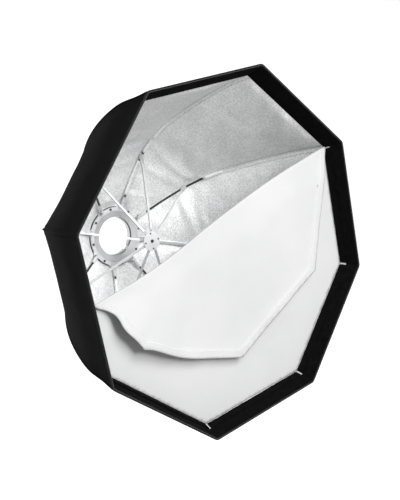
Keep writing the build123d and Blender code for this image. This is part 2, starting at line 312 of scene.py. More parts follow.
def noise_node(tree, where, scale, detail=3.0, rough=0.55):
    made = add(tree, "ShaderNodeTexNoise", {"Scale": scale, "Detail": detail, "Roughness": rough})
    tree.links.new(where, made.inputs["Vector"])
    return made.outputs["Fac"]


def waves(tree, where, scale, direction):
    made = add(tree, "ShaderNodeTexWave", {"Scale": scale, "Distortion": 0.4, "Detail": 1.0},
               bands_direction=direction)
    tree.links.new(where, made.inputs["Vector"])
    return made.outputs["Fac"]


def blend_math(tree, operation, a, b):
    """A math node on two values, each a socket or a number."""
    made = add(tree, "ShaderNodeMath", operation=operation)
    for socket, value in zip(made.inputs, (a, b)):
        if isinstance(value, (int, float)):
            socket.default_value = value
        else:
            tree.links.new(value, socket)
    return made.outputs[0]


def vary_color(tree, shader, factor, dark, light, low=0.3, high=0.7):
    """The base colour runs from dark to light with a factor."""
    ramp = add(tree, "ShaderNodeValToRGB")
    ramp.color_ramp.elements[0].position = low
    ramp.color_ramp.elements[0].color = (*dark, 1)
    ramp.color_ramp.elements[1].position = high
    ramp.color_ramp.elements[1].color = (*light, 1)
    tree.links.new(factor, ramp.inputs["Fac"])
    tree.links.new(ramp.outputs["Color"], shader.inputs["Base Color"])


def vary_rough(tree, shader, factor, low, high):
    spread = add(tree, "ShaderNodeMapRange", {"To Min": low, "To Max": high})
    tree.links.new(factor, spread.inputs["Value"])
    tree.links.new(spread.outputs["Result"], shader.inputs["Roughness"])


def raise_surface(tree, shader, height, strength, distance):
    relief = add(tree, "ShaderNodeBump", {"Strength": strength, "Distance": distance})
    tree.links.new(height, relief.inputs["Height"])
    tree.links.new(relief.outputs["Normal"], shader.inputs["Normal"])


def woven(name, dark, light, rough, threads, **sockets):
    """Plain woven cloth: threads per metre both ways, in the mesh's UV, with soft uneven colour."""
    made, tree, shader = material(name, light, rough, **sockets)
    uv = place(tree, "UV")
    weave = blend_math(tree, "MAXIMUM", waves(tree, uv, threads, "X"), waves(tree, uv, threads, "Y"))
    cloud = noise_node(tree, place(tree), 9.0)
    fine = noise_node(tree, place(tree), 140.0)
    vary_color(tree, shader, cloud, dark, light)
    vary_rough(tree, shader, cloud, rough - 0.06, rough + 0.08)
    raise_surface(tree, shader, blend_math(tree, "ADD", weave, blend_math(tree, "MULTIPLY", fine, 1.5)),
                  0.25, 0.0004)
    return made


def black_nylon():
    return woven("black_nylon", (0.0030, 0.0030, 0.0032), (0.0048, 0.0048, 0.0051), 0.85, 420.0,
                 Specular_IOR_Level=0.03)


def white_nylon():
    made, tree, shader = material("white_nylon", (0.41, 0.41, 0.41), 0.7, Specular_IOR_Level=0.15)
    uv = place(tree, "UV")
    weave = blend_math(tree, "MAXIMUM", waves(tree, uv, 520.0, "X"), waves(tree, uv, 520.0, "Y"))
    cloud = noise_node(tree, place(tree), 6.0, 4.0)
    vary_color(tree, shader, cloud, (0.415, 0.416, 0.419), (0.445, 0.445, 0.445))
    fine = noise_node(tree, place(tree), 60.0)
    raise_surface(tree, shader, blend_math(tree, "ADD", weave, blend_math(tree, "MULTIPLY", fine, 2.0)),
                  0.2, 0.0004)
    return made


def silver_cloth(name, dark, light, strength):
    """Reflective cloth: a pebbled silver face that sparkles."""
    made, tree, shader = material(name, light, 0.46, 0.22, Specular_IOR_Level=0.5)
    where = place(tree)
    pebble = add(tree, "ShaderNodeTexVoronoi", {"Scale": 420.0, "Randomness": 1.0})
    tree.links.new(where, pebble.inputs["Vector"])
    grain = noise_node(tree, where, 260.0, 2.0)
    patch = noise_node(tree, where, 14.0, 4.0)
    mixed = blend_math(tree, "ADD", grain, blend_math(tree, "MULTIPLY", patch, 0.25))
    vary_color(tree, shader, blend_math(tree, "MULTIPLY", mixed, 0.8), dark, light, 0.42, 0.58)
    vary_rough(tree, shader, grain, 0.3, 0.6)
    height = blend_math(tree, "ADD", pebble.outputs["Distance"], blend_math(tree, "MULTIPLY", grain, 2.0))
    raise_surface(tree, shader, height, strength, 0.0011)
    return made


def hook_pile():
    made, tree, shader = material("hook_pile", (0.003, 0.003, 0.003), 0.95, Specular_IOR_Level=0.04)
    where = place(tree)
    pile = add(tree, "ShaderNodeTexVoronoi", {"Scale": 900.0})
    tree.links.new(where, pile.inputs["Vector"])
    vary_color(tree, shader, noise_node(tree, where, 90.0), (0.0016, 0.0016, 0.0016),
               (0.0036, 0.0036, 0.0036))
    raise_surface(tree, shader, pile.outputs["Distance"], 0.7, 0.0006)
    return made


def webbing(name, dark, light):
    """Ribbed binding tape."""
    made, tree, shader = material(name, light, 0.8, Specular_IOR_Level=0.2)
    where = place(tree)
    rib = add(tree, "ShaderNodeTexWave", {"Scale": 300.0, "Distortion": 0.6}, bands_direction="DIAGONAL")
    tree.links.new(where, rib.inputs["Vector"])
    vary_color(tree, shader, noise_node(tree, where, 40.0), dark, light)
    raise_surface(tree, shader, rib.outputs["Fac"], 0.4, 0.0004)
    return made


def thread(name, color):
    made, tree, shader = material(name, color, 0.6, Sheen_Weight=0.2)
    twist = add(tree, "ShaderNodeTexWave", {"Scale": 700.0, "Distortion": 0.3}, bands_direction="DIAGONAL")
    tree.links.new(place(tree), twist.inputs["Vector"])
    vary_color(tree, shader, noise_node(tree, place(tree), 30.0), tuple(c * 0.85 for c in color), color)
    raise_surface(tree, shader, twist.outputs["Fac"], 0.4, 0.0002)
    return made


def painted(name, dark, light, rough=0.38, peel=0.25, metal=0.0):
    """Powder coat: slightly pebbled, a little darker where it is worn."""
    made, tree, shader = material(name, light, rough, metal, Coat_Weight=0.15, Coat_Roughness=0.3)
    where = place(tree)
    vary_color(tree, shader, noise_node(tree, where, 22.0, 5.0), dark, light)
    vary_rough(tree, shader, noise_node(tree, where, 55.0), rough - 0.08, rough + 0.1)
    raise_surface(tree, shader, noise_node(tree, where, 700.0, 2.0), peel, 0.0003)
    return made


def turned_metal(name, color, rough):
    """Bare metal with fine turning marks about the axis."""
    made, tree, shader = material(name, color, rough, 1.0)
    where = place(tree)
    rings = add(tree, "ShaderNodeTexWave", {"Scale": 260.0, "Distortion": 0.8, "Detail": 2.0},
                wave_type="RINGS", rings_direction="Y")
    tree.links.new(where, rings.inputs["Vector"])
    vary_color(tree, shader, noise_node(tree, where, 30.0, 5.0), tuple(c * 0.78 for c in color), color)
    vary_rough(tree, shader, noise_node(tree, where, 90.0), rough - 0.08, rough + 0.12)
    raise_surface(tree, shader, rings.outputs["Fac"], 0.15, 0.0002)
    return made


def moulded_black():
    made, tree, shader = material("moulded_black", (0.014, 0.014, 0.015), 0.55)
    where = place(tree)
    vary_color(tree, shader, noise_node(tree, where, 25.0), (0.010, 0.010, 0.011), (0.018, 0.018, 0.019))
    vary_rough(tree, shader, noise_node(tree, where, 60.0), 0.45, 0.65)
    raise_surface(tree, shader, noise_node(tree, where, 900.0), 0.4, 0.0003)
    return made


def coated_rod():
    made, tree, shader = material("coated_rod", (0.012, 0.012, 0.013), 0.3, Coat_Weight=0.4,
                                  Coat_Roughness=0.2)
    where = place(tree)
    vary_color(tree, shader, noise_node(tree, where, 45.0), (0.008, 0.008, 0.009), (0.02, 0.02, 0.021))
    vary_rough(tree, shader, noise_node(tree, where, 120.0), 0.22, 0.42)
    raise_surface(tree, shader, noise_node(tree, where, 500.0), 0.2, 0.0002)
    return made


NYLON = black_nylon()
SILVER = silver_cloth("silver_cloth", (0.74, 0.742, 0.746), (0.97, 0.971, 0.973), 0.75)
SILVER_TAPE = silver_cloth("silver_tape", (0.8, 0.802, 0.806), (0.93, 0.931, 0.933), 0.25)
WHITE = white_nylon()
PILE = hook_pile()
BINDING = webbing("binding_tape", (0.004, 0.004, 0.0045), (0.009, 0.009, 0.0095))
GREY_THREAD = thread("grey_thread", (0.16, 0.16, 0.165))
WHITE_THREAD = thread("white_thread", (0.72, 0.725, 0.73))
MOULDED = moulded_black()
CAD_LOOKS = [
    (("rib_rod",), coated_rod()),
    (("stretcher", "rib_fittings", "hinge_brackets"),
     painted("white_coat", (0.48, 0.485, 0.49), (0.60, 0.605, 0.61))),
    (("mount_ring", "hub_front", "hub_core"),
     painted("ring_coat", (0.49, 0.495, 0.50), (0.62, 0.625, 0.63))),
    (("reflector_cone",),
     painted("grey_coat", (0.46, 0.465, 0.47), (0.6, 0.605, 0.61), 0.3, 0.15, 0.3)),
    (("bayonet_insert",), turned_metal("turned_metal", (0.6, 0.6, 0.61), 0.34)),
    (("ring_fasteners", "hub_fasteners"),
     turned_metal("blackened_steel", (0.09, 0.09, 0.095), 0.45)),
    (("neck_collar",), MOULDED),
]


def dress_cad():
    """Gives every carried-over CAD node its material."""
    for name, node in frame["nodes"].items():
        for starts, look in CAD_LOOKS:
            if name.startswith(starts):
                node.data.materials.clear()
                node.data.materials.append(look)


# --- canopy ---
def canopy_grid(line, rows):
    """A closed ring of flat gores: points (column, row, 3), with what each column is."""
    profile = smooth_line(line, rows)
    spread = np.linspace(0, 1, HALF_COLUMNS + 1) ** 1.6
    points, ribs, shares = [], [], []
    for rib in range(1, RIBS + 1):
        lines = {i: np.array([at(i, r, d) for r, d in profile]) for i in (rib - 1, rib, rib + 1)}
        for share in [-s for s in reversed(spread[1:])] + list(spread[:-1]):
            other = lines[rib + 1] if share > 0 else lines[rib - 1]
            points.append(lines[rib] + (other - lines[rib]) * abs(share) / 2)
            ribs.append(rib)
            shares.append(share)
    grid = np.array(points)
    along = np.linalg.norm(np.diff(profile, axis=0), axis=1)
    along = np.concatenate([[0], np.cumsum(along)])
    return grid, np.array(ribs), np.array(shares), profile, along


def lateral(profile, shares):
    """Signed distance of each grid point from its rib's plane."""
    return shares[:, None] * profile[None, :, 0] * sin(HALF) * cos(HALF)


def petal_columns(rib):
    """The columns of one rib's petal, from the middle of one panel to the middle of the next."""
    first = (rib - 1) * 2 * HALF_COLUMNS
    return np.arange(first, first + 2 * HALF_COLUMNS + 1) % (RIBS * 2 * HALF_COLUMNS)


def fold_angle():
    """How far a rib turns as the hub goes to its limit."""
    joint = next(j for j in frame["joints"] if j["name"] == "rib_2_fold")
    return radians(max(joint["range_deg"]))


def closing(profile):
    """The share of its radius that each place of a rib keeps when the frame is folded."""
    turn = fold_angle()
    dr, dd = profile[:, 0] - RIB_PIVOT[0], profile[:, 1] - RIB_PIVOT[1]
    return (RIB_PIVOT[0] + dr * cos(turn) - dd * sin(turn)) / profile[:, 0]


def draw_in(made, keep):
    """Gives a piece of a rib's petal its own copy of its mesh. keep, a share of its width, is not used."""
    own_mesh(made)


def petal_bands(name, grid, normals, thick, profile, along, cuts, look, node, pick):
    """Each rib's petal as bands that turn with the rib. pick takes a share of width from a band's rows,
    which draw_in does not use."""
    rows = grid.shape[1]
    marks = [round(c * (rows - 1)) for c in cuts]
    keeps = np.clip(closing(profile), NARROWEST, 1)
    for rib in range(1, RIBS + 1):
        columns = petal_columns(rib)
        across = rib_axes(rib)[1]
        for i, (low, high) in enumerate(zip(marks, marks[1:])):
            part = grid[columns][:, low:high + 1]
            uv = np.stack(np.broadcast_arrays((part @ across), along[None, low:high + 1]), axis=-1)
            made = shell(f"{name}_{rib}_{i + 1}", part, normals[columns][:, low:high + 1], thick, uv, look)
            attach(made, f"rib_{rib}")
            draw_in(made, float(pick(keeps[low:high + 1])))
            if i == 0:
                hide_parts(f"{node}_{rib}")


def panel_share(ribs, shares):
    """The panel that a column is on, by its first rib, and how far across it is, from 0 to 1."""
    panel = np.where(shares >= 0, ribs, (ribs - 2) % RIBS + 1)
    across = np.where(shares >= 0, shares / 2, 1 + shares / 2)
    return panel, across


def build_cover():
    """The black outer cover: flat gores with a raised seam over each rib and shallow tension folds."""
    grid, ribs, shares, profile, along = canopy_grid(COVER_LINE, COVER_ROWS)
    normals = grid_normals(grid, True)
    if (normals[0, 0] * rib_axes(ribs[0])[0]).sum() < 0:
        normals = -normals
    side = lateral(profile, shares)
    _, across = panel_share(ribs, shares)
    free = np.sin(pi * across)[:, None] ** 0.7
    hold = step(0, 0.03, along) * step(0, 0.02, along[-1] - along)
    sag = -0.004 * free * np.sin(pi * along / along[-1])[None]
    folds = 0.0022 * noise_at(grid, (0.16, 0.22, 0.16), 3.1) * free
    creases = 0.0009 * noise_at(grid, (0.035, 0.05, 0.035), 8.4) * free
    seam = 0.0022 * bump(side, 0.0016) + 0.0008 * bump(np.abs(side) - 0.009, 0.002)
    grid = grid + normals * ((sag + folds + creases) * hold + seam)[..., None]
    normals = grid_normals(grid, True) * np.sign((normals * grid_normals(grid, True)).sum(-1))[..., None]
    petal_bands("cover", grid, normals, COVER_THICK, profile, along, COVER_CUTS, NYLON,
                "cover_panel", np.max)


def rod_gap(profile):
    """How far inside the lining's rib line the rod's centre lies, for each row."""
    rod = arc_line(ROD_LINE, 600)
    ahead = np.gradient(profile, axis=0)
    ahead /= np.linalg.norm(ahead, axis=1, keepdims=True)
    inward = np.stack([-ahead[:, 1], ahead[:, 0]], axis=1)
    away = rod[None] - profile[:, None]
    nearest = away[np.arange(len(profile)), np.argmin(np.linalg.norm(away, axis=2), axis=1)]
    return (nearest * inward).sum(-1)


# Folds of each lining panel: turn from along the panel (degrees), depth (m), and a seed.
PANEL_FOLDS = {1: (20, 0.0024, 1.0), 2: (-42, 0.0078, 5.0), 3: (72, 0.0042, 9.0), 4: (15, 0.0030, 13.0),
               5: (-20, 0.0026, 17.0), 6: (30, 0.0026, 21.0), 7: (-25, 0.0026, 25.0), 8: (10, 0.0026, 29.0)}
# Creases around the panels: radius over the ribs, height and width (m).
CREASE_RADII = [(0.205, 0.0050, 0.010), (0.238, 0.0085, 0.009), (0.272, 0.0038, 0.012)]


def lining_lift(grid, ribs, shares, profile, along):
    """How far the lining stands proud of its flat gores, inward."""
    panel, across = panel_share(ribs, shares)
    side = lateral(profile, shares)
    free = np.sin(pi * across)[:, None]
    width = (2 * profile[:, 0] * sin(HALF))[None]
    u, v = (across[:, None] - 0.5) * width, np.broadcast_to(along[None], side.shape)
    lift = 0.004 * free * np.ones_like(side)
    for gore, (turn, deep, seed) in PANEL_FOLDS.items():
        on = (panel == gore)[:, None]
        c, s = cos(radians(turn)), sin(radians(turn))
        place_at = np.stack([(u * c - v * s) / 0.032, (u * s + v * c) / 0.20, np.zeros_like(u)], axis=-1)
        place_at = np.where(on[..., None], place_at, 0)
        lift += np.where(on, deep * noise_at(place_at, 1.0, seed) * free**0.6, 0)
    for i, (radius, high, wide) in enumerate(CREASE_RADII):
        wander = 0.016 * noise_at(grid * np.array([1, 0, 1]), 0.09, 40.0 + i)
        strong = 0.6 + 0.8 * noise_at(grid * np.array([1, 0, 1]), 0.12, 60.0 + i)
        lift += high * strong * free**0.5 * bump(profile[None, :, 0] + wander - radius, wide)
    lift += 0.0007 * noise_at(grid, 0.018, 2.2) * free**0.3
    lift += 0.0016 * noise_at(grid, 0.045, 7.7) * free**0.4
    lift += 0.0030 * noise_at(grid, 0.026, 21.0) * free**0.3 * bump(profile[None, :, 0] - 0.125, 0.035)
    return lift * step(0, 0.02, along) * step(0, 0.015, along[-1] - along), side


def build_lining():
    """The silver lining. It runs behind the rods near the ring, and over the rest of every rod."""
    grid, ribs, shares, profile, along = canopy_grid(LINING_LINE, LINING_ROWS)
    normals = -grid_normals(grid, True)
    if (normals[0, 0] * rib_axes(ribs[0])[0]).sum() > 0:
        normals = -normals
    lift, side = lining_lift(grid, ribs, shares, profile, along)
    gap = rod_gap(profile)
    over = np.maximum(0, gap + ROD_RADIUS + CLOTH_GAP)
    behind = np.minimum(0, gap - ROD_RADIUS - CLOTH_GAP)
    covered = step(SLOT_RADIUS - 0.004, SLOT_RADIUS + 0.006, profile[:, 0])
    ridge = behind * (1 - covered) + over * covered
    seam = -0.0016 * bump(np.abs(side) - SEAM_SIDE, 0.0014) * covered
    height = lift * (1 - bump(side, 0.012)) + ridge * bump(side, 0.0075) + seam
    grid = grid + normals * height[..., None]
    fresh = grid_normals(grid, True)
    normals = fresh * np.sign((normals * fresh).sum(-1))[..., None]
    petal_bands("lining", grid, normals, LINING_THICK, profile, along, LINING_CUTS, SILVER,
                "lining_panel", np.min)
    build_rib_seams(grid + normals * 0.0004, side, profile)


def build_rib_seams(surface, side, profile):
    """The two rows of dark stitches that close each rod's pocket in the lining."""
    rows = np.flatnonzero(profile[:, 0] > SLOT_RADIUS + 0.006)
    for rib in range(1, RIBS + 1):
        columns = petal_columns(rib)[:-1]
        sewn = []
        for edge in (-SEAM_SIDE, SEAM_SIDE):
            path = [[np.interp(edge, side[columns, j], surface[columns, j, i]) for i in range(3)]
                    for j in rows]
            sewn.append(stitches("rib_seam", path, -rib_axes(rib)[0], GREY_THREAD, 0.0046, 0.0040, 0.0007))
        made = joined(f"rib_seam_{rib}", sewn)
        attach(made, f"rib_{rib}")


def build_lips():
    """The inner band between the diffuser and the rim, with its strip of loop tape."""
    rows = 26
    (r0, d0), (r1, d1) = LIP_LINE
    line = [(r0 + (r1 - r0) * t, d0 + (d1 - d0) * t) for t in np.linspace(0, 1, 5)]
    grid, ribs, shares, profile, along = canopy_grid(line, rows)
    normals = grid_normals(grid, True)
    if (normals[0, 0] * rib_axes(ribs[0])[0]).sum() > 0:
        normals = -normals
    side = lateral(profile, shares)
    tape = step(0.003, 0.0042, along) * step(0.003, 0.0042, along[-1] - along)
    wave = 0.0009 * noise_at(grid, (0.05, 0.02, 0.05), 12.0) * (1 - bump(side, 0.02))
    grid = grid + normals * (0.0008 * tape[None] + wave * np.sin(pi * along / along[-1])[None])[..., None]
    keep = float(closing(profile).min())
    for rib in range(1, RIBS + 1):
        columns = petal_columns(rib)
        part = grid[columns]
        uv = np.stack(np.broadcast_arrays(part @ rib_axes(rib)[1], along[None]), axis=-1)
        made = shell(f"lip_{rib}", part, normals[columns], LIP_THICK, uv, PILE)
        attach(made, f"rib_{rib}")
        draw_in(made, max(keep, NARROWEST))
        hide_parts(f"lip_band_{rib}")


def corner_path(rib, radius, depth, turn, count=60):
    """A path along the rim from mid panel to mid panel, rounded at the rib with a turn of that radius."""
    centre = radius - turn / cos(HALF)
    arc = np.linspace(-HALF, HALF, 15)
    points = [at(rib, centre + turn * cos(a), depth, turn * sin(a)) for a in arc]
    out, across = radius * cos(HALF) ** 2, radius * cos(HALF) * sin(HALF)
    ends = [at(rib, out, depth, sign * across) for sign in (-1, 1)]
    return even_line(np.array([ends[0], *points, ends[1]]), count)


def build_rim():
    """The bound front edge and the binding's stitches."""
    for rib in range(1, RIBS + 1):
        path = corner_path(rib, RIM_RADIUS, RIM_DEPTH, CORNER_TURN)
        bead = tube(f"rim_binding_{rib}", path, 0.0026, BINDING, 14, 0.72, (0, 1, 0))
        sewn_path = corner_path(rib, RIM_RADIUS - 0.0012, RIM_DEPTH + 0.0021, CORNER_TURN, 120)
        sewn = stitches(f"rim_stitches_{rib}", sewn_path, (0, -1, 0), GREY_THREAD)
        made = joined(f"rim_binding_{rib}", [bead, sewn])
        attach(made, f"rib_{rib}")
        draw_in(made, NARROWEST_RIM)


def rod_path(rib, start, end):
    """Points along a rib's rod between two radii."""
    rod = arc_line(ROD_LINE, 400)
    part = rod[(rod[:, 0] >= start) & (rod[:, 0] <= end)]
    return np.array([at(rib, r, d) for r, d in even_line(part, max(8, int((end - start) / 0.004)))])


def build_neck():
    """The gathered silver cuff that closes the canopy's neck onto the collar behind the flange."""
    turns = np.linspace(0, 2 * pi, 161)
    shares = np.linspace(0, 1, 12)
    columns = []
    for turn in turns:
        off = (turn + HALF) % STEP - HALF
        flat = NECK_RADIUS * cos(HALF) / cos(HALF - abs(off))
        gather = 0.0007 * sin(turn * 56)
        column = []
        for share in shares:
            radius = COLLAR_RADIUS + (flat - COLLAR_RADIUS) * share
            depth = 0.0150 + 0.0024 * share**2 + gather * sin(pi * share)
            column.append((sin(turn) * radius, -depth, cos(turn) * radius))
        columns.append(column)
    cuff = strip("neck_cuff", np.array(columns), np.array([0, -1.0, 0]), 0.0012, SILVER_TAPE)
    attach(cuff, "root")


def build_sleeves():
    """Silver sleeves over the even rods, with an opening for the stretcher's joint block."""
    for rib in (2, 4, 6, 8):
        parts = []
        runs = ((SLEEVE_START, JOINT_RADIUS - SLEEVE_GAP), (JOINT_RADIUS + SLEEVE_GAP, SLOT_RADIUS + 0.006))
        for low, high in runs:
            path = rod_path(rib, low, high)
            ripple = 1 + 0.12 * noise_at(path, 0.011, 4.0 + rib)
            parts.append(tube("sleeve", path, 0.0046 * ripple, SILVER_TAPE, 16, 0.92, rib_axes(rib)[1]))
        made = joined(f"rib_sleeve_{rib}", parts)
        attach(made, f"rib_{rib}")


def build_patches():
    """A reinforcing patch where each rod goes in behind the lining."""
    for rib in range(1, RIBS + 1):
        path = rod_path(rib, SLOT_RADIUS, SLOT_RADIUS + POCKET_LENGTH)
        widths = np.interp(np.linspace(0, 1, len(path)), [0, 0.12, 0.8, 1], [0.0062, 0.0075, 0.0068, 0.0045])
        made = tube(f"rod_pocket_{rib}", path, widths, SILVER_TAPE, 18, 0.72, rib_axes(rib)[1])
        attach(made, f"rib_{rib}")


def build_small_parts():
    """The white tab on the upright rib, and four dark plugs in the hub's front plate, painted shade for the
    dark inside its holes.
    """
    inward = np.array([0, -0.0022, -0.0047])
    tab = tube("rib_tab", rod_path(2, 0.338, 0.364) + inward, 0.0085, WHITE_THREAD, 18, 0.55, tuple(inward))
    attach(tab, "rib_2")
    # Painted shade: each plug is a dark disc that stands for the shade inside a hole of the hub's plate.
    hole_shade_plugs = []
    for i in range(4):
        turn = i * pi / 2 - HALF
        x, z = HUB_HOLE_CIRCLE * sin(turn), HUB_HOLE_CIRCLE * cos(turn)
        ends = [(x, -HUB_FACE + back, z) for back in (0.0012, 0.0002, -0.0003)]
        hole_shade_plugs.append(tube("hole_shade_plug", ends, (0.0016, 0.0024, 0.0022), MOULDED, 16))
    made = joined("hub_hole_shade_plugs", hole_shade_plugs)
    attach(made, "hub")


# --- diffuser ---
def corner(index, radius=DIFFUSER_RADIUS):
    out = rib_axes(index)[0]
    return np.array([out[0], out[2]]) * radius


FOLD_START = (corner(7) + corner(8)) / 2
FOLD_END = corner(3)
FOLD_LENGTH = float(np.linalg.norm(FOLD_END - FOLD_START))
FOLD_ALONG = (FOLD_END - FOLD_START) / FOLD_LENGTH
FOLD_OVER = np.array([FOLD_ALONG[1], -FOLD_ALONG[0]])        # from the fold over the lower half


def mirrored(point):
    away = point - FOLD_START
    return FOLD_START + 2 * (away @ FOLD_ALONG) * FOLD_ALONG - away


def fold_bow(along):
    """How far the soft fold lies from its straight line, towards the lower half."""
    t = along / FOLD_LENGTH
    near = BOW_NEAR * np.sin(pi * np.clip(t / BOW_TURN, 0, 1))
    return near - BOW_FAR * np.sin(pi * np.clip((t - BOW_TURN) / (1 - BOW_TURN), 0, 1))


def flat_mesh(outline, inner_lines, spacing):
    """Triangles that fill an outline, with its points and those of the inner lines kept."""
    points = [Vector(p) for p in outline]
    edges = [(i, (i + 1) % len(outline)) for i in range(len(outline))]
    for line in inner_lines:
        first = len(points)
        points += [Vector(p) for p in line]
        edges += [(first + i, first + i + 1) for i in range(len(line) - 1)]
    low, high = np.min(outline, axis=0), np.max(outline, axis=0)
    shape = np.array(outline)
    row = 0
    y = low[1] + spacing / 2
    while y < high[1]:
        x = low[0] + (spacing / 2 if row % 2 else 0)
        while x < high[0]:
            if inside(shape, (x, y)) > spacing * 0.6:
                points.append(Vector((x, y)))
            x += spacing
        y += spacing * 0.866
        row += 1
    got = geometry.delaunay_2d_cdt(points, edges, [list(range(len(outline)))], 1, 1e-5)
    return np.array([tuple(p) for p in got[0]]), [tuple(f) for f in got[2]]


def inside(shape, point):
    """Distance of a point inside a convex outline from its nearest side, negative outside."""
    run = np.roll(shape, -1, axis=0) - shape
    normal = np.stack([-run[:, 1], run[:, 0]], axis=1) / np.linalg.norm(run, axis=1, keepdims=True)
    inward = np.sign(((shape.mean(0) - shape) * normal).sum(1))
    return float((((np.array(point) - shape) * normal).sum(1) * inward).min())


def edge_distance(points, a, b):
    """Distance of each point from the line through a and b."""
    run = (b - a) / np.linalg.norm(b - a)
    return np.abs((points - a) @ np.array([-run[1], run[0]]))


def along_fold(points):
    return (points - FOLD_START) @ FOLD_ALONG


def over_fold(points):
    return (points - FOLD_START) @ FOLD_OVER


def divided(corners, spacing):
    """The corners with points between them, the last corner left out."""
    line = []
    for a, b in zip(corners, corners[1:]):
        count = max(1, round(float(np.linalg.norm(b - a)) / spacing))
        line += [a + (b - a) * i / count for i in range(count)]
    return line


def build_diffuser(spacing=0.0065):
    """The white front sheet, half of it folded over, as one cloth that opens at its fold."""
    lower = [corner(i) for i in (3, 4, 5, 6, 7)] + [FOLD_START]
    upper = [mirrored(corner(i)) for i in (2, 1, 8)]
    fold = divided([FOLD_START, FOLD_END], spacing) + [FOLD_END]
    count = len(fold)
    sheet_outline = fold + divided(lower, spacing)[1:]
    flap_outline = fold + divided([FOLD_END, *upper, FOLD_START], spacing)[1:]
    sheet_2d, sheet_faces = flat_mesh(sheet_outline, [], spacing)
    hems = hem_lines([FOLD_END, *upper, FOLD_START], spacing)
    flap_2d, flap_faces = flat_mesh(flap_outline, hems, spacing)
    sheet = sheet_points(sheet_2d)
    flap = flap_points(flap_2d, [FOLD_END, *upper, FOLD_START])
    roll, roll_faces = fold_roll(sheet[:count], flap[:count], len(sheet), len(flap))
    points = np.vstack([sheet, flap, roll])
    faces = facing(sheet, sheet_faces, 0, -1) + facing(flap, flap_faces, len(sheet), 1) + roll_faces
    made = new_object("diffuser_cloth", points, faces, WHITE)
    set_uv(made, np.vstack([sheet_2d, flap_2d, roll[:, [0, 2]]]))
    solid = made.modifiers.new("cloth", "SOLIDIFY")
    solid.thickness = DIFFUSER_THICK
    solid.offset = 0
    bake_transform(made)
    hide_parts("diffuser_sheet", "diffuser_flap")
    return made


def hem_lines(corners, spacing):
    """Lines inside the flap's free edges, either side of the hem's stitched edge."""
    lines = []
    for inset in (HEM_WIDTH, HEM_WIDTH + HEM_STEP):
        moved = inset_corners(corners, inset)
        lines.append(divided(moved, spacing) + [moved[-1]])
    return lines


def inset_corners(corners, inset):
    """The open run of free edges moved inward, its ends kept on the fold side."""
    sides = []
    for a, b in zip(corners, corners[1:]):
        run = (b - a) / np.linalg.norm(b - a)
        normal = np.array([-run[1], run[0]])
        middle = sum(corners) / len(corners)
        if (middle - a) @ normal < 0:
            normal = -normal
        sides.append((a + normal * inset, run))
    fold_side = (FOLD_START + FOLD_OVER * 0.004, FOLD_ALONG)
    crossings = [crossing(fold_side, sides[0])]
    crossings += [crossing(p, q) for p, q in zip(sides, sides[1:])]
    crossings.append(crossing(sides[-1], fold_side))
    return crossings


def crossing(one, other):
    """Where two lines, each a point and a direction, meet."""
    (a, u), (b, v) = one, other
    t = np.linalg.solve(np.array([u, -v]).T, b - a)[0]
    return a + u * t


def sheet_points(flat):
    """The lower half in space: nearly flat, a little slack between its corners."""
    a, o = along_fold(flat), over_fold(flat)
    shift = fold_bow(a) * bump(o, FOLD_REACH)
    x, z = flat[:, 0] + FOLD_OVER[0] * shift, flat[:, 1] + FOLD_OVER[1] * shift
    where = np.stack([x, np.zeros_like(x), z], axis=1)
    free = np.clip(0.36 - np.hypot(x, z), 0, 0.1) / 0.1
    slack = 0.0022 * free * noise_at(where, (0.19, 1, 0.13), 1.7)
    slack = slack + 0.0007 * free * noise_at(where, 0.05, 6.0)
    depth = SHEET_DEPTH - 0.0008 - np.abs(slack) - 0.004 * free
    away = step(0, FOLD_REACH, o)
    depth = np.where(o < 0.002, SHEET_DEPTH, depth * away + SHEET_DEPTH * (1 - away))
    return np.stack([x, -depth, z], axis=1)


def flap_points(flat, corners):
    """The upper half folded over the lower: curled at its loose corner, raised along its hem."""
    a, o = along_fold(flat), over_fold(flat)
    shift = fold_bow(a) * bump(o, FOLD_REACH)
    drawn = FOLD_OVER * shift[:, None] + curled_edge(flat, *corners[-2:])
    x, z = flat[:, 0] + drawn[:, 0], flat[:, 1] + drawn[:, 1]
    where = np.stack([x, np.zeros_like(x), z], axis=1)
    edge = np.min([edge_distance(flat, p, q) for p, q in zip(corners, corners[1:])], axis=0)
    hem = 0.0016 * (1 - step(HEM_WIDTH, HEM_WIDTH + HEM_STEP, edge))
    off = step(0.0, 0.06, o)
    t = a / FOLD_LENGTH
    lift = 0.004 * off + 0.0016 * off * noise_at(where, (0.15, 1, 0.1), 30.0)
    lift += 0.0006 * off * noise_at(where, 0.045, 33.0)
    curl = bump(t - 0.02, 0.16) * step(0.004, 0.10, o)
    lift += 0.020 * curl * (1 - step(0.0, 0.16, edge))
    lift += 0.0035 * off * bump(edge, 0.03) * (1 + noise_at(where, 0.07, 36.0))
    return np.stack([x, -(FLAP_DEPTH + hem * off + lift), z], axis=1)


def curled_edge(flat, loose, held):
    """How the flap's short edge draws in, from its loose corner to its end at the fold."""
    run = (loose - held) / np.linalg.norm(loose - held)
    inward = np.array([-run[1], run[0]])
    if (FOLD_END - held) @ inward < 0:
        inward = -inward
    share = (flat - held) @ run / np.linalg.norm(loose - held)
    near = 1 - step(0, 0.09, edge_distance(flat, held, loose))
    hollow = 0.015 * bump(share - 0.26, 0.2) * near * step(0.0, 0.12, share)
    pulled = bump(np.linalg.norm(flat - loose, axis=1), 0.085)
    return inward * hollow[:, None] + (inward * 0.020 - run * 0.016) * pulled[:, None]


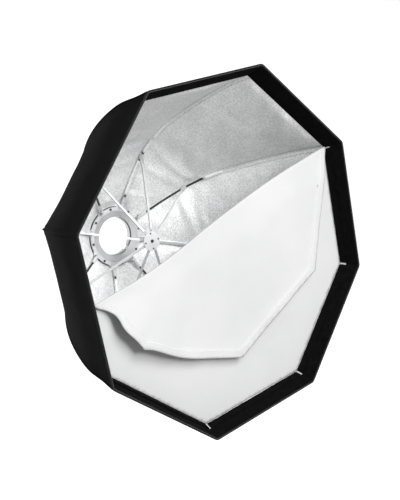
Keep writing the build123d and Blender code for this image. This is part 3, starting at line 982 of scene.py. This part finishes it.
def fold_roll(sheet_edge, flap_edge, sheet_count, flap_count, turns=6):
    """The rounded edge that joins the two halves, over the upper side of the fold."""
    points, faces = [], []
    count = len(sheet_edge)
    upward = np.array([-FOLD_OVER[0], 0, -FOLD_OVER[1]])
    for i in range(1, turns):
        angle = pi * i / turns
        middle, reach = (sheet_edge + flap_edge) / 2, (flap_edge - sheet_edge) / 2
        bulge = np.linalg.norm(reach, axis=1, keepdims=True) * sin(angle)
        points.append(middle - reach * cos(angle) + upward * bulge)
    first = sheet_count + flap_count

    def index(ring, i):
        if ring == 0:
            return i
        if ring == turns:
            return sheet_count + i
        return first + (ring - 1) * count + i

    for ring in range(turns):
        for i in range(count - 1):
            faces.append((index(ring, i), index(ring, i + 1), index(ring + 1, i + 1), index(ring + 1, i)))
    return np.vstack(points), faces


def facing(points, faces, shift, sign):
    """Faces turned so that their normals have the given sign along Y."""
    turned = []
    for face in faces:
        a, b, c = (points[i] for i in face[:3])
        along_y = np.cross(b - a, c - a)[1]
        order = face if along_y * sign > 0 else face[::-1]
        turned.append(tuple(i + shift for i in order))
    return turned


def build_hem_stitches():
    """Two rows of stitches along the flap's hem."""
    corners = [FOLD_END] + [mirrored(corner(i)) for i in (2, 1, 8)] + [FOLD_START]
    made = []
    for inset in (0.0035, HEM_WIDTH - 0.002):
        line = np.array(divided(inset_corners(corners, inset), 0.01))
        points = flap_points(line, corners)
        points[:, 1] -= 0.0005
        made.append(stitches("hem_stitches", points, (0, -1, 0), WHITE_THREAD, 0.0040, 0.0036, 0.0009))
    piece = joined("flap_hem_stitches", made)
    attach(piece, "flap")


def lip_point(index, share, up, inset):
    """A point on the lip: share across from rib index to the next, up along the lip, inset off it."""
    (r0, d0), (r1, d1) = LIP_LINE
    long = hypot(r1 - r0, d1 - d0)
    r, d = r0 + (r1 - r0) * up / long, d0 + (d1 - d0) * up / long
    radius = r - inset
    return at(index, radius, d) * (1 - share) + at(index + 1, radius, d) * share


def build_tapes():
    """The diffuser's edge, turned forward against the lip, and the black tape sewn along each side."""
    pieces, edges = [], []
    gap, count = 0.008, 60
    for index, high in ((3, 1.0), (4, 1.0), (5, 1.0), (6, 1.0), (7, 0.5)):
        across = np.linspace(0, high, count)
        shares = np.linspace(gap, high - gap if high == 1.0 else high, count)
        rows = np.linspace(0.0008, TAPE_WIDTH, 7)
        grid = np.array([[lip_point(index, s, u, 0.0030) for u in rows] for s in shares])
        ripple = 0.0007 * noise_at(grid, (0.03, 0.1, 0.03), 50.0 + index)
        inward = -(rib_axes(index)[0] + rib_axes(index + 1)[0])
        inward /= np.linalg.norm(inward)
        grid = grid + inward * np.abs(ripple)[..., None]
        pieces.append(strip("tape", grid, inward, 0.0009, PILE))
        grid = np.array([[lip_point(index, s, u * 0.9, 0.0021) for u in rows] for s in across])
        edges.append(strip("edge", grid, inward, 0.0005, WHITE))
    tape = joined("diffuser_tape", pieces)
    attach(tape, "diffuser")
    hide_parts("diffuser_hook_tape")
    edge = joined("diffuser_edge", edges)
    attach(edge, "diffuser")
    return tape


def strip(name, grid, facing_way, thick, look):
    """A closed strip behind a grid of points, its front towards facing_way."""
    normals = grid_normals(grid, False)
    if (normals.mean((0, 1)) @ facing_way) < 0:
        grid = grid[::-1]
        normals = grid_normals(grid, False)
    uv = np.stack(np.broadcast_arrays(np.arange(grid.shape[0])[:, None] * 0.005,
                                      np.arange(grid.shape[1])[None] * 0.003), axis=-1)
    return shell(name, grid, normals, thick, uv, look)


# --- stage, light and camera ---
RIM_CENTRE = Vector((0, -0.494, 0))
CAMERA_PLACE = RIM_CENTRE + 0.4 * Vector((-2.86574, -3.07305, 0.05492))
CAMERA_RIGHT = Vector((0.76095, -0.63812, 0.11732))
CAMERA_DOWN = Vector((0.07983, -0.08737, -0.99297))
CAMERA_AHEAD = Vector((0.64388, 0.76497, -0.01554))
SENSOR_WIDTH, LENS = 36, 71.14
FLOOR_BELOW = 1.1
FLOOR_HALF_WIDTH = 14
FLOOR_SPLIT = 0.3                # where the grey front floor meets the pale one
WORLD_STRENGTH = 0.32
LIGHT_TARGET = (0, -0.3, 0)
# Each light's name, place, size across (m) and power (W).
LIGHTS = [("key", (-0.6, -3.2, 2.0), 1.8, 142), ("front", (-0.5, -3.5, 0.9), 0.8, 74)]


def build_camera():
    data = bpy.data.cameras.new("camera")
    data.sensor_fit = "HORIZONTAL"
    data.sensor_width = SENSOR_WIDTH
    data.lens = LENS
    camera = bpy.data.objects.new("camera", data)
    bpy.context.scene.collection.objects.link(camera)
    turn = Matrix((CAMERA_RIGHT, -CAMERA_DOWN, -CAMERA_AHEAD)).transposed()
    camera.matrix_world = Matrix.Translation(CAMERA_PLACE) @ turn.to_4x4()
    bpy.context.scene.camera = camera


def build_floor():
    """A pale glowing floor that curves up far behind the object, and a greyer one in front of it."""
    curve = [(6 + 3 * sin(a), 3 - 3 * cos(a)) for a in np.linspace(0.1, pi / 2, 14)]
    runs = {"floor": ([(FLOOR_SPLIT, 0), (6, 0), *curve, (9, 12)], 0.93, 0.6),
            "front_floor": ([(-9, 0), (FLOOR_SPLIT, 0)], 0.45, 0)}
    for name, (profile, grey, glow) in runs.items():
        points = [(x, y, z - FLOOR_BELOW) for x in (-FLOOR_HALF_WIDTH, FLOOR_HALF_WIDTH) for y, z in profile]
        count = len(profile)
        faces = [(i, i + 1, i + 1 + count, i + count) for i in range(count - 1)]
        look, tree, shader = material(name, (grey, grey, grey), 0.8, Emission_Color=(1, 1, 1, 1),
                                      Emission_Strength=glow)
        vary_color(tree, shader, noise_node(tree, place(tree), 1.2), (grey - 0.01,) * 3, (grey + 0.01,) * 3)
        new_object(name, points, faces, look)


def area_light(name, place_at, target, size, power):
    data = bpy.data.lights.new(name, "AREA")
    data.shape = "DISK"
    data.size = size
    data.energy = power
    lamp = bpy.data.objects.new(name, data)
    bpy.context.scene.collection.objects.link(lamp)
    lamp.location = place_at
    lamp.rotation_mode = "QUATERNION"
    lamp.rotation_quaternion = (Vector(target) - Vector(place_at)).to_track_quat("-Z", "Y")


def build_light():
    world = bpy.data.worlds.new("studio")
    bpy.context.scene.world = world
    world.use_nodes = True
    world.node_tree.nodes["Background"].inputs["Color"].default_value = (1, 1, 1, 1)
    world.node_tree.nodes["Background"].inputs["Strength"].default_value = WORLD_STRENGTH
    for name, place_at, size, power in LIGHTS:
        area_light(name, place_at, LIGHT_TARGET, size, power)
    bpy.context.scene.view_settings.view_transform = "Standard"


build_camera()
build_floor()
build_light()
dress_cad()
build_cover()
build_lining()
build_lips()
build_rim()
build_neck()
build_sleeves()
build_patches()
build_small_parts()
build_tapes()
build_diffuser()
build_hem_stitches()
